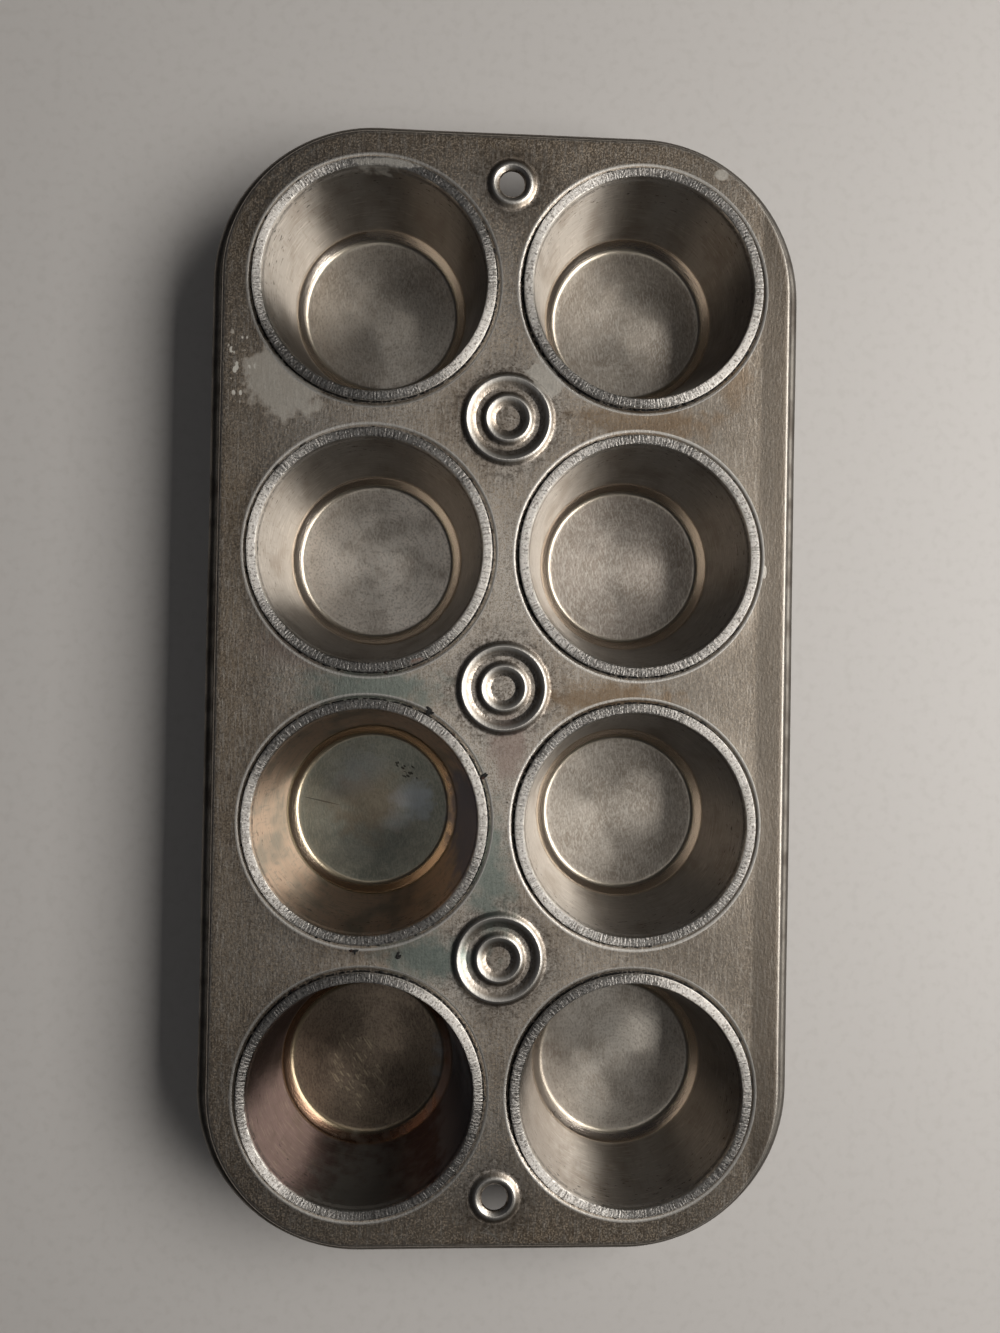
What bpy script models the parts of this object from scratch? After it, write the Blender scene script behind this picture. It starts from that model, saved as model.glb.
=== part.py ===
"""Mini muffin pan: a pressed plate, drawn cups locked into it by double seams, and a wired rim.

Metres, +Z up. The pan lies with its long side along Y and stands on its cup floors, and the
origin is on the ground under its middle. Row 1 is the row at +Y.
"""

import math

import bmesh
import bpy
from mathutils import Matrix, Vector

MM = 0.001

# Layout of the cups
ROWS = 4
COLUMNS = 2
STRIP_WIDTH = 6.0 * MM  # plate left between the seams of two neighbours
EDGE_WIDTH = 6.7 * MM  # plate from an outer seam to the face of the skirt

# Cup, measured inside
MOUTH_RADIUS = 25.4 * MM
FLOOR_RADIUS = 18.3 * MM  # flat part of the floor
CUP_DEPTH = 23.4 * MM  # floor below the top face of the plate
FLOOR_CORNER = 2.4 * MM  # radius between floor and wall
CUP_GAUGE = 0.35 * MM

# Double seam: the plate's hem stands inside the cup's rolled edge
SEAM_WIDTH = 2.1 * MM  # from the mouth to the outside of the rolled edge
SEAM_ROUND = 0.35 * MM  # corners of the rolled edge
SEAM_GAP = 0.2 * MM  # between any two layers of the seam
DIP_DEPTH = 0.35 * MM  # the plate is pressed down to take the seam
DIP_SLOPE = 0.7 * MM

# Plate
PLATE_GAUGE = 0.35 * MM
BEND_RADIUS = 1.6 * MM
SKIRT_DROP = 5.4 * MM  # top face of the plate to the middle of the rim wire

# Rim wire, wrapped by the edge of the plate
WIRE_RADIUS = 1.1 * MM
WIRE_GAP = 0.25 * MM
CURL_SWEEP = math.radians(300)

# Pressed rosettes, each of two ring ridges with a steep outer flank
ROSETTE_RADIUS = 10.7 * MM
RIDGE_HEIGHT = 0.85 * MM
RIDGE_RISE = 1.4 * MM
RIDGE_FALL = 2.2 * MM
RIDGE_LAND = 0.9 * MM
RIDGES = 2

# Hanging eyelets, one at each end
EYELET_INSET = 11.25 * MM  # hole centre to the face of the skirt
EYELET_HOLE_RADIUS = 2.87 * MM
EYELET_THROAT = 1.15 * MM  # inner flank, crest to hole
EYELET_CREST = 0.45 * MM
EYELET_FLANK = 1.5 * MM
EYELET_HEIGHT = 0.8 * MM
EYELET_DROP = 0.1 * MM  # hole edge below the top face of the plate

# Facets
CUP_SEGMENTS = 24
FLOOR_CORNER_STEPS = 2
BEND_STEPS = 2
CURL_STEPS = 7
OUTLINE_CORNER_STEPS = 6
ROSETTE_SEGMENTS = 24
EYELET_SEGMENTS = 16
WIRE_SEGMENTS = 8
WELD = 0.001 * MM
SMOOTH_ANGLE = math.radians(32)

# Finishes: worn tin plate, and the tints that heat leaves on it
TIN = "#7A7164"
STRAW = "#84714F"
UMBER = "#5E4B43"
WIRE_GREY = "#6B6861"
HEAT_TINTS = {"cup_3_left": STRAW, "cup_4_left": UMBER}
TIN_ROUGHNESS = 0.42
WIRE_ROUGHNESS = 0.5

# Worked out from the sizes above. Heights below are above the ground.
SEAM_RADIUS = MOUTH_RADIUS + SEAM_WIDTH
PITCH = 2 * SEAM_RADIUS + STRIP_WIDTH
SKIRT_RADIUS = SEAM_RADIUS + EDGE_WIDTH
PLATE_TOP = CUP_DEPTH + CUP_GAUGE
WIRE_HEIGHT = PLATE_TOP - SKIRT_DROP
WIRE_PATH_RADIUS = SKIRT_RADIUS + WIRE_GAP + WIRE_RADIUS

# The layers of the seam, from the pressed plate upwards
SEAT_TOP = PLATE_TOP - DIP_DEPTH
HOOK_UNDERSIDE = SEAT_TOP + SEAM_GAP
HEM_UNDERSIDE = HOOK_UNDERSIDE + CUP_GAUGE + SEAM_GAP
HEM_TOP = HEM_UNDERSIDE + PLATE_GAUGE
SEAM_TOP = HEM_TOP + SEAM_GAP + CUP_GAUGE

# The walls of the seam, from the mouth outwards
COLLAR_INSIDE = MOUTH_RADIUS + CUP_GAUGE + SEAM_GAP
COLLAR_OUTSIDE = COLLAR_INSIDE + PLATE_GAUGE
HOOK_EDGE = COLLAR_OUTSIDE + SEAM_GAP
HEM_EDGE = SEAM_RADIUS - CUP_GAUGE - SEAM_GAP

HALF_COLUMNS = (COLUMNS - 1) * PITCH / 2
HALF_ROWS = (ROWS - 1) * PITCH / 2


def linear_colour(hex_code):
    """The linear RGBA of an sRGB hex code."""
    channels = (int(hex_code[i : i + 2], 16) / 255 for i in (1, 3, 5))
    linear = (c / 12.92 if c <= 0.04045 else ((c + 0.055) / 1.055) ** 2.4 for c in channels)
    return (*linear, 1.0)


def metal(name, hex_code, roughness):
    """A metal in one colour."""
    material = bpy.data.materials.new(name)
    material.use_nodes = True
    shader = material.node_tree.nodes["Principled BSDF"]
    shader.inputs["Base Color"].default_value = linear_colour(hex_code)
    shader.inputs["Metallic"].default_value = 1.0
    shader.inputs["Roughness"].default_value = roughness
    material.diffuse_color = linear_colour(hex_code)
    return material


def clear_scene():
    """Leave no object in the scene."""
    for obj in list(bpy.data.objects):
        bpy.data.objects.remove(obj, do_unlink=True)


def arc(centre, radius, start, end, steps):
    """Points (r, z) on an arc about centre, with both its ends."""
    return [
        (
            centre[0] + radius * math.cos(start + (end - start) * i / steps),
            centre[1] + radius * math.sin(start + (end - start) * i / steps),
        )
        for i in range(steps + 1)
    ]


def offset_line(line, distance):
    """The line moved to its right by distance, with mitred corners."""
    moved = []
    for i, point in enumerate(line):
        runs = []
        if i > 0:
            runs.append(Vector(point) - Vector(line[i - 1]))
        if i < len(line) - 1:
            runs.append(Vector(line[i + 1]) - Vector(point))
        normals = [Vector((run.y, -run.x)).normalized() for run in runs]
        middle = sum(normals, Vector((0, 0))).normalized()
        moved.append(tuple(Vector(point) + middle * (distance / middle.dot(normals[0]))))
    return moved


def cup_face():
    """The cup's face that shows, as (r, z) from the middle of its floor to the hook of its edge."""
    corner = (FLOOR_RADIUS, CUP_GAUGE + FLOOR_CORNER)
    wall_top = (MOUTH_RADIUS, SEAM_TOP - SEAM_ROUND)
    across = wall_top[0] - corner[0]
    up = wall_top[1] - corner[1]
    taper = math.atan2(across, up) - math.asin(FLOOR_CORNER / math.hypot(across, up))
    return [
        (0, CUP_GAUGE),
        *arc(corner, FLOOR_CORNER, -math.pi / 2, -taper, FLOOR_CORNER_STEPS),
        wall_top,
        (MOUTH_RADIUS + SEAM_ROUND, SEAM_TOP),
        (SEAM_RADIUS - SEAM_ROUND, SEAM_TOP),
        (SEAM_RADIUS, SEAM_TOP - SEAM_ROUND),
        (SEAM_RADIUS, HOOK_UNDERSIDE),
        (HOOK_EDGE, HOOK_UNDERSIDE),
    ]


def collar_face():
    """The plate's face round a cup, from the flat plate down the dip and up to the edge of the hem."""
    return [
        (SEAM_RADIUS + SEAM_GAP + DIP_SLOPE, PLATE_TOP),
        (SEAM_RADIUS + SEAM_GAP, SEAT_TOP),
        (COLLAR_OUTSIDE, SEAT_TOP),
        (COLLAR_OUTSIDE, HEM_UNDERSIDE),
        (HEM_EDGE, HEM_UNDERSIDE),
    ]


def rosette_face():
    """The plate's face over a rosette, from its foot to its middle."""
    line = [(ROSETTE_RADIUS, PLATE_TOP)]
    foot = ROSETTE_RADIUS
    for _ in range(RIDGES):
        crest = foot - RIDGE_RISE
        line.append((crest, PLATE_TOP + RIDGE_HEIGHT))
        line.append((crest - RIDGE_FALL, PLATE_TOP))
        foot = crest - RIDGE_FALL - RIDGE_LAND
        line.append((foot, PLATE_TOP))
    # The last land runs on to the middle.
    line[-1] = (0, PLATE_TOP)
    return line


def eyelet_face():
    """The plate's face over an eyelet, from its foot to the edge of its hole."""
    crest_inside = EYELET_HOLE_RADIUS + EYELET_THROAT
    crest_outside = crest_inside + EYELET_CREST
    return [
        (crest_outside + EYELET_FLANK, PLATE_TOP),
        (crest_outside, PLATE_TOP + EYELET_HEIGHT),
        (crest_inside, PLATE_TOP + EYELET_HEIGHT),
        (EYELET_HOLE_RADIUS, PLATE_TOP - EYELET_DROP),
    ]


def rim_face():
    """The plate's face from its flat edge down the skirt and round the rim wire."""
    bend_centre = (SKIRT_RADIUS - BEND_RADIUS, PLATE_TOP - BEND_RADIUS)
    wire_centre = (WIRE_PATH_RADIUS, WIRE_HEIGHT)
    return [
        *arc(bend_centre, BEND_RADIUS, math.pi / 2, 0, BEND_STEPS),
        *arc(wire_centre, WIRE_RADIUS + WIRE_GAP, math.pi, math.pi + CURL_SWEEP, CURL_STEPS),
    ]


def chain_of(bm, line, centre):
    """A chain of edges through the (r, z) points of a line, standing on +X of centre."""
    verts = [bm.verts.new((centre[0] + r, centre[1], z)) for r, z in line]
    edges = [bm.edges.new(pair) for pair in zip(verts, verts[1:])]
    return verts + edges


def turn(bm, line, centre, segments):
    """Turn a line once about the upright axis through centre."""
    bmesh.ops.spin(
        bm,
        geom=chain_of(bm, line, centre),
        cent=(*centre, 0),
        axis=(0, 0, 1),
        angle=math.tau,
        steps=segments,
        use_merge=True,
    )


def sweep_round_pan(bm, chain):
    """Carry a chain of edges round the pan's four corners and along its four sides."""
    long_side = 2 * HALF_ROWS
    short_side = 2 * HALF_COLUMNS
    corner = Vector((HALF_COLUMNS, HALF_ROWS, 0))
    for side in ((-short_side, 0, 0), (0, -long_side, 0), (short_side, 0, 0), (0, long_side, 0)):
        turned = bmesh.ops.spin(
            bm,
            geom=chain,
            cent=corner,
            axis=(0, 0, 1),
            angle=math.pi / 2,
            steps=OUTLINE_CORNER_STEPS,
        )["geom_last"]
        edges = [part for part in turned if isinstance(part, bmesh.types.BMEdge)]
        drawn = bmesh.ops.extrude_edge_only(bm, edges=edges)["geom"]
        chain = [part for part in drawn if not isinstance(part, bmesh.types.BMFace)]
        verts = [part for part in chain if isinstance(part, bmesh.types.BMVert)]
        bmesh.ops.translate(bm, vec=side, verts=verts)
        corner += Vector(side)
    bmesh.ops.remove_doubles(bm, verts=bm.verts, dist=WELD)


def fill_flat(bm):
    """Fill the flat of the plate between every edge that lies open at its level."""
    edges = [
        edge
        for edge in bm.edges
        if edge.is_boundary and all(abs(vert.co.z - PLATE_TOP) < WELD for vert in edge.verts)
    ]
    bmesh.ops.triangle_fill(bm, edges=edges, use_beauty=True, use_dissolve=False, normal=(0, 0, 1))


def cup_places():
    """Each cup's name and centre."""
    for row in range(ROWS):
        for column in range(COLUMNS):
            side = {(0, 2): "left", (1, 2): "right"}.get((column, COLUMNS), str(column + 1))
            centre = (column * PITCH - HALF_COLUMNS, HALF_ROWS - row * PITCH)
            yield f"cup_{row + 1}_{side}", centre


def rosette_places():
    """The points that lie in the middle of four cups."""
    for row in range(ROWS - 1):
        for column in range(COLUMNS - 1):
            yield ((column + 0.5) * PITCH - HALF_COLUMNS, HALF_ROWS - (row + 0.5) * PITCH)


def eyelet_places():
    """The centres of the two hanging holes."""
    reach = HALF_ROWS + SKIRT_RADIUS - EYELET_INSET
    return [(0, reach), (0, -reach)]


def finished_mesh(name, bm):
    """A smooth-shaded mesh from a bmesh, with its creases kept sharp."""
    mesh = bpy.data.meshes.new(name)
    bm.to_mesh(mesh)
    bm.free()
    mesh.shade_smooth()
    mesh.set_sharp_from_angle(angle=SMOOTH_ANGLE)
    return mesh


def new_object(name, mesh, material, place=(0, 0, 0), parent=None):
    """An object with a material of its own, also where it shares its mesh."""
    obj = bpy.data.objects.new(name, mesh)
    bpy.context.scene.collection.objects.link(obj)
    if not mesh.materials:
        mesh.materials.append(None)
    obj.material_slots[0].link = "OBJECT"
    obj.material_slots[0].material = material
    obj.location = place
    obj.parent = parent
    return obj


def make_plate():
    """The plate: collars, rosettes, eyelets and rim, with the flat filled in between them."""
    bm = bmesh.new()
    sweep_round_pan(bm, chain_of(bm, rim_face(), (HALF_COLUMNS, HALF_ROWS)))
    for _, centre in cup_places():
        turn(bm, collar_face(), centre, CUP_SEGMENTS)
    for centre in rosette_places():
        turn(bm, rosette_face(), centre, ROSETTE_SEGMENTS)
    for centre in eyelet_places():
        turn(bm, eyelet_face(), centre, EYELET_SEGMENTS)
    bmesh.ops.remove_doubles(bm, verts=bm.verts, dist=WELD)
    fill_flat(bm)
    bmesh.ops.recalc_face_normals(bm, faces=bm.faces)
    flat_face = max(bm.faces, key=lambda face: abs(face.normal.z) * face.calc_area())
    if flat_face.normal.z < 0:
        bmesh.ops.reverse_faces(bm, faces=bm.faces)
    plate = new_object("pan_plate", finished_mesh("pan_plate", bm), metal("plate_tin", TIN, TIN_ROUGHNESS))
    sheet = plate.modifiers.new("sheet", "SOLIDIFY")
    sheet.thickness = PLATE_GAUGE
    sheet.offset = -1
    sheet.use_even_offset = True
    sheet.use_quality_normals = True
    return plate


def make_rim_wire(plate):
    """The steel wire inside the rolled edge, one closed ring round the pan."""
    bm = bmesh.new()
    section = bmesh.ops.create_circle(bm, segments=WIRE_SEGMENTS, radius=WIRE_RADIUS)["verts"]
    upright = Matrix.Rotation(math.pi / 2, 4, "X")
    start = Matrix.Translation((HALF_COLUMNS + WIRE_PATH_RADIUS, HALF_ROWS, WIRE_HEIGHT))
    bmesh.ops.transform(bm, matrix=start @ upright, verts=section)
    sweep_round_pan(bm, list(bm.verts) + list(bm.edges))
    bmesh.ops.recalc_face_normals(bm, faces=bm.faces)
    material = metal("wire_steel", WIRE_GREY, WIRE_ROUGHNESS)
    return new_object("rim_wire", finished_mesh("rim_wire", bm), material, parent=plate)


def make_cups(plate):
    """The drawn cups, which share one shape. Each has its own tint."""
    face = cup_face()
    back = offset_line(face, CUP_GAUGE)
    bm = bmesh.new()
    turn(bm, face + back[::-1], (0, 0), CUP_SEGMENTS)
    bmesh.ops.remove_doubles(bm, verts=bm.verts, dist=WELD)
    bmesh.ops.recalc_face_normals(bm, faces=bm.faces)
    mesh = finished_mesh("cup", bm)
    for name, (x, y) in cup_places():
        material = metal(f"{name}_tin", HEAT_TINTS.get(name, TIN), TIN_ROUGHNESS)
        new_object(name, mesh, material, place=(x, y, 0), parent=plate)


def main():
    clear_scene()
    plate = make_plate()
    make_rim_wire(plate)
    make_cups(plate)


main()
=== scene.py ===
"""The looks of a worn mini muffin pan: tinned plate, drawn cups, double seams and a wired rim.

Metres, +Z up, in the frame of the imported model. The pan's long side lies along Y, it stands on its
cup floors, and row 1 of the cups is the row at +Y.
"""

import logging
import math
import random
from collections.abc import Iterator
from dataclasses import dataclass, field
from enum import Enum

import bmesh
import bpy
from mathutils import Matrix, Vector, noise


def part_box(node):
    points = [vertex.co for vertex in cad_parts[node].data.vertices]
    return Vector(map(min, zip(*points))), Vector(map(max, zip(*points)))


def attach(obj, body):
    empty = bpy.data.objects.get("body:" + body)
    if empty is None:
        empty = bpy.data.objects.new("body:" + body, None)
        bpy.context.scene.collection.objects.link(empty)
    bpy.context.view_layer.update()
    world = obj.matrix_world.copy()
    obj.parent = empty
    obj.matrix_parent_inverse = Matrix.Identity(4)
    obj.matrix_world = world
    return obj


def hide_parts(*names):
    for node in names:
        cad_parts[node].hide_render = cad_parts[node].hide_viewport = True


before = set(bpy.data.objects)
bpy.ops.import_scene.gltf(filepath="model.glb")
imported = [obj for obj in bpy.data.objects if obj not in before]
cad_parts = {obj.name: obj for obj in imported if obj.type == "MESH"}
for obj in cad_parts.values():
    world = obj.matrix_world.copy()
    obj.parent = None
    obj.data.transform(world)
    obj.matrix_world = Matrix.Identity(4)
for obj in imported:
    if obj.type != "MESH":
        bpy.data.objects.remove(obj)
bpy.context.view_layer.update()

LOG = logging.getLogger("muffin_pan")

MM = 0.001
UP = Vector((0, 0, 1))
WELD = 0.001 * MM
SMOOTH_ANGLE = math.radians(40)
ARC_STEP = math.radians(16)
# How much of a straight run the round at one of its ends may take up
ROUND_SHARE = 0.48
# How many equal sectors a turned form is made of
SECTORS = 8
# A scale in metres, so large that a pattern is the same at every height
ANY_HEIGHT = 1000.0
# The wear of a place where soot sits, and of one that use has polished
SOOTY = -1.0
POLISHED = 1.0

# Sockets of a Mix node, by the kind of data that it mixes
MIX_FACTOR = 0
MIX_FLOATS = (2, 3)
MIX_COLOURS = (6, 7)
MIX_FLOAT_RESULT = 0
MIX_COLOUR_RESULT = 2

Socket = bpy.types.NodeSocket
Colour = tuple[float, float, float, float]


def linear(hex_code: str) -> Colour:
    """Turn an sRGB hex code into a linear colour.

    Args:
        hex_code: The colour as "#RRGGBB".

    Returns:
        The linear red, green and blue, with an alpha of 1.
    """
    channels = (int(hex_code[i : i + 2], 16) / 255 for i in (1, 3, 5))
    # The curve of the sRGB standard
    values = [c / 12.92 if c <= 0.04045 else ((c + 0.055) / 1.055) ** 2.4 for c in channels]
    return (values[0], values[1], values[2], 1.0)


def add(
    tree: bpy.types.NodeTree, kind: str, sockets: dict | None = None, **settings: object
) -> bpy.types.Node:
    """Add a shader node with its settings, and set or link its inputs.

    Args:
        tree: The node tree that gets the node.
        kind: The node's type, without the words ShaderNode.
        sockets: A value, or an output to link, for each input by its name or number.
        settings: The node's own properties.

    Returns:
        The new node.
    """
    node = tree.nodes.new("ShaderNode" + kind)
    for name, value in settings.items():
        setattr(node, name, value)
    for key, value in (sockets or {}).items():
        if isinstance(value, Socket):
            tree.links.new(value, node.inputs[key])
        else:
            node.inputs[key].default_value = value
    return node


@dataclass(frozen=True)
class Coat:
    """What one layer of a surface looks like where it covers."""

    colour: str
    roughness: float
    metallic: float = 1.0


@dataclass(frozen=True)
class Mark:
    """One mark at a known place: an oval with a ragged outline, in the frame's millimetres."""

    x: float
    y: float
    long: float  # half of its length
    wide: float  # half of its width
    coat: Coat
    turned: float = 0.0  # how far its length is turned from X, in degrees
    amount: float = 0.8
    ragged: float = 0.9  # how far its outline wanders, as a share of its size
    soft: float = 0.16  # how wide its edge fades, as a share of its size
    speck: float = 0.0  # how far apart the specks are that it consists of, or 0 for a whole oval
    stretch: float = 1.0  # how much longer than wide its specks are


class Surface:
    """One Principled material, built from coats that lie over each other.

    Patterns read Object coordinates, which are the frame's own metres on every piece here.
    """

    def __init__(self, name: str, base: Coat) -> None:
        """Start a material.

        Args:
            name: The material's name.
            base: The bare surface under every other coat.
        """
        self.material = bpy.data.materials.new(name)
        self.material.use_nodes = True
        self.material.diffuse_color = linear(base.colour)
        self.tree = self.material.node_tree
        self.shader = self.tree.nodes["Principled BSDF"]
        self.place = add(self.tree, "TexCoord").outputs["Object"]
        self.colour: Socket | Colour = linear(base.colour)
        self.roughness: Socket | float = base.roughness
        self.metallic: Socket | float = base.metallic
        self.height: Socket | float = 0.0
        # What moves the outlines of marks in and out, made for the first mark
        self.wander: Socket | None = None

    def attribute(self, name: str, low: float, high: float) -> Socket:
        """Read a float attribute of the mesh as a mask.

        Args:
            name: The attribute's name.
            low: The value where the mask is 0.
            high: The value where the mask is 1.

        Returns:
            The mask.
        """
        value = add(self.tree, "Attribute", attribute_type="GEOMETRY", attribute_name=name)
        return self.step(value.outputs["Fac"], low, high)

    def step(self, value: Socket, low: float, high: float) -> Socket:
        """Turn a value into a soft mask, from 0 at low to 1 at high, which may be the smaller."""
        limits = {"Value": value, "From Min": low, "From Max": high}
        return add(self.tree, "MapRange", limits, interpolation_type="SMOOTHSTEP").outputs["Result"]

    def product(self, *masks: Socket | float) -> Socket | float:
        """Multiply masks and amounts.

        Args:
            masks: One or more masks or plain numbers.

        Returns:
            Their product.
        """
        result = masks[0]
        for mask in masks[1:]:
            result = add(self.tree, "Math", {0: result, 1: mask}, operation="MULTIPLY").outputs[0]
        return result

    def grain(
        self,
        size: float | tuple[float, float, float],
        low: float,
        high: float,
        turned: float = 0.0,
        source: Socket | None = None,
        detail: float = 2.0,
        shift: float = 0.0,
    ) -> Socket:
        """Make a mask of random blots of a real size.

        Args:
            size: How long a blot is in millimetres, along X, Y and Z or the same every way.
            low: The noise level where the mask is 0, near 0.5 for half of the surface.
            high: The noise level where the mask is 1.
            turned: How far the blots are turned about Z, in degrees.
            source: The coordinates in metres, or None for Object coordinates.
            detail: How many finer copies of the noise are added.
            shift: Moves the pattern, in metres, so that two grains differ.

        Returns:
            The mask.
        """
        lengths = size if isinstance(size, tuple) else (size, size, size)
        settings = {
            "Vector": self.place if source is None else source,
            "Location": (shift, 2 * shift, 3 * shift),
            "Rotation": (0, 0, math.radians(turned)),
            "Scale": tuple(length * MM for length in lengths),
        }
        mapped = add(self.tree, "Mapping", settings, vector_type="TEXTURE").outputs[0]
        blots = add(self.tree, "TexNoise", {"Vector": mapped, "Scale": 1.0, "Detail": detail})
        return self.step(blots.outputs[0], low, high)

    def put(self, mark: Mark) -> None:
        """Lay one mark at its place, whatever its height.

        Args:
            mark: The mark.
        """
        settings = {
            "Vector": self.place,
            "Location": (mark.x * MM, mark.y * MM, 0),
            "Rotation": (0, 0, math.radians(mark.turned)),
            "Scale": (mark.long * MM, mark.wide * MM, ANY_HEIGHT),
        }
        local = add(self.tree, "Mapping", settings, vector_type="TEXTURE").outputs[0]
        reach = add(self.tree, "VectorMath", {0: local}, operation="LENGTH").outputs["Value"]
        if self.wander is None:
            self.wander = self.grain(3, 0.2, 0.8, detail=5, shift=0.17)
        ragged = {0: self.wander, 1: mark.ragged, 2: reach}
        edge = add(self.tree, "Math", ragged, operation="MULTIPLY_ADD").outputs[0]
        outline = 1 + mark.ragged / 2
        masks = [self.step(edge, outline + mark.soft, outline - mark.soft), mark.amount]
        if mark.speck:
            masks.append(self.specks(mark))
        self.lay(mark.coat, *masks)

    def specks(self, mark: Mark) -> Socket:
        """Make the mask of a mark's own specks, each a small oval that lies along the mark.

        Args:
            mark: The mark that consists of them.

        Returns:
            The mask.
        """
        settings = {
            "Vector": self.place,
            "Rotation": (0, 0, math.radians(mark.turned)),
            "Scale": (mark.speck * mark.stretch * MM, mark.speck * MM, ANY_HEIGHT),
        }
        cells = add(self.tree, "Mapping", settings, vector_type="TEXTURE").outputs[0]
        near = add(self.tree, "TexVoronoi", {"Vector": cells, "Scale": 1.0}).outputs["Distance"]
        # Only some of the cells hold a speck.
        some = self.grain(1.4, 0.46, 0.5, detail=0, shift=mark.x * MM)
        return self.product(self.step(near, 0.42, 0.34), some)

    def lay(self, coat: Coat, *masks: Socket | float, height: float = 0.0) -> None:
        """Lay a coat over what is there.

        Args:
            coat: What it looks like.
            masks: Where and how much it covers, multiplied by each other.
            height: How far it stands up, in millimetres, for the bump.
        """
        mask = self.product(*masks)
        first, second = MIX_COLOURS
        colours = {MIX_FACTOR: mask, first: self.colour, second: linear(coat.colour)}
        mixed = add(self.tree, "Mix", colours, data_type="RGBA")
        self.colour = mixed.outputs[MIX_COLOUR_RESULT]
        first, second = MIX_FLOATS
        for name in ("roughness", "metallic"):
            floats = {MIX_FACTOR: mask, first: getattr(self, name), second: getattr(coat, name)}
            mixed = add(self.tree, "Mix", floats, data_type="FLOAT")
            setattr(self, name, mixed.outputs[MIX_FLOAT_RESULT])
        if height:
            self.emboss(height, mask)

    def emboss(self, height: float, *masks: Socket | float) -> None:
        """Raise the bump.

        Args:
            height: How far, in millimetres.
            masks: Where and how much of it, multiplied by each other.
        """
        raised = {0: self.product(*masks), 1: height, 2: self.height}
        self.height = add(self.tree, "Math", raised, operation="MULTIPLY_ADD").outputs[0]

    def brush(self, direction: Socket, amount: Socket | float) -> None:
        """Scratch the metal finely along a direction, so that its highlights stretch across it.

        Args:
            direction: The vector that the scratches follow.
            amount: The anisotropy.
        """
        self.tree.links.new(direction, self.shader.inputs["Tangent"])
        # A quarter of a turn lays the stretched highlight across the scratches.
        self.shader.inputs["Anisotropic Rotation"].default_value = 0.25
        self.feed("Anisotropic", amount)

    def feed(self, name: str, value: Socket | Colour | float) -> None:
        """Link a socket to one of the shader's inputs, or set a plain value there.

        Args:
            name: The input's name.
            value: The socket or the value.
        """
        if isinstance(value, Socket):
            self.tree.links.new(value, self.shader.inputs[name])
        else:
            self.shader.inputs[name].default_value = value

    def finished(self) -> bpy.types.Material:
        """Link the coats to the shader.

        Returns:
            The finished material.
        """
        for name, value in (
            ("Base Color", self.colour),
            ("Roughness", self.roughness),
            ("Metallic", self.metallic),
        ):
            self.feed(name, value)
        if isinstance(self.height, Socket):
            bump = add(self.tree, "Bump", {"Height": self.height, "Distance": MM, "Strength": 1.0})
            self.tree.links.new(bump.outputs[0], self.shader.inputs["Normal"])
        return self.material


@dataclass(frozen=True)
class Station:
    """A corner of a turned profile."""

    r: float
    z: float
    bend: float = 0.0  # radius of the round at this corner
    wear: float = 0.0  # between SOOTY and POLISHED


# The points (r, z) of a profile, each with its wear
Line = list[tuple[Vector, float]]


def rounded_line(stations: list[Station], longest: float) -> Line:
    """Round the corners of a profile and cut its straight runs into short ones.

    Args:
        stations: The corners, in order.
        longest: The longest run that is left.

    Returns:
        The line.
    """
    corners: Line = []
    for i, at in enumerate(stations):
        point = Vector((at.r, at.z))
        if not at.bend:
            corners.append((point, at.wear))
            continue
        into = point - Vector((stations[i - 1].r, stations[i - 1].z))
        out = Vector((stations[i + 1].r, stations[i + 1].z)) - point
        turn = math.atan2(into.cross(out), into.dot(out))
        slope = math.tan(abs(turn) / 2)
        reach = min(at.bend * slope, ROUND_SHARE * into.length, ROUND_SHARE * out.length)
        start = point - into.normalized() * reach
        side = math.copysign(1, turn)
        centre = start + Vector((-into.y, into.x)).normalized() * side * reach / slope
        steps = max(2, math.ceil(abs(turn) / ARC_STEP))
        for step in range(steps + 1):
            arm = Matrix.Rotation(turn * step / steps, 2) @ (start - centre)
            corners.append((centre + arm, at.wear))
    line = [corners[0]]
    for (point, wear), (last, last_wear) in zip(corners[1:], corners):
        pieces = max(1, math.ceil((point - last).length / longest))
        for piece in range(1, pieces + 1):
            share = piece / pieces
            line.append((last.lerp(point, share), last_wear + (wear - last_wear) * share))
    return line


def offset_line(line: Line, distance: float) -> Line:
    """Move a line to its right, with mitred corners.

    Args:
        line: The line.
        distance: How far it moves.

    Returns:
        The moved line.
    """
    moved: Line = []
    for i, (point, wear) in enumerate(line):
        runs = []
        if i > 0:
            runs.append(point - line[i - 1][0])
        if i < len(line) - 1:
            runs.append(line[i + 1][0] - point)
        normals = [Vector((run.y, -run.x)).normalized() for run in runs]
        middle = sum(normals, Vector((0, 0))).normalized()
        moved.append((point + middle * (distance / middle.dot(normals[0])), wear))
    return moved


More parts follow.
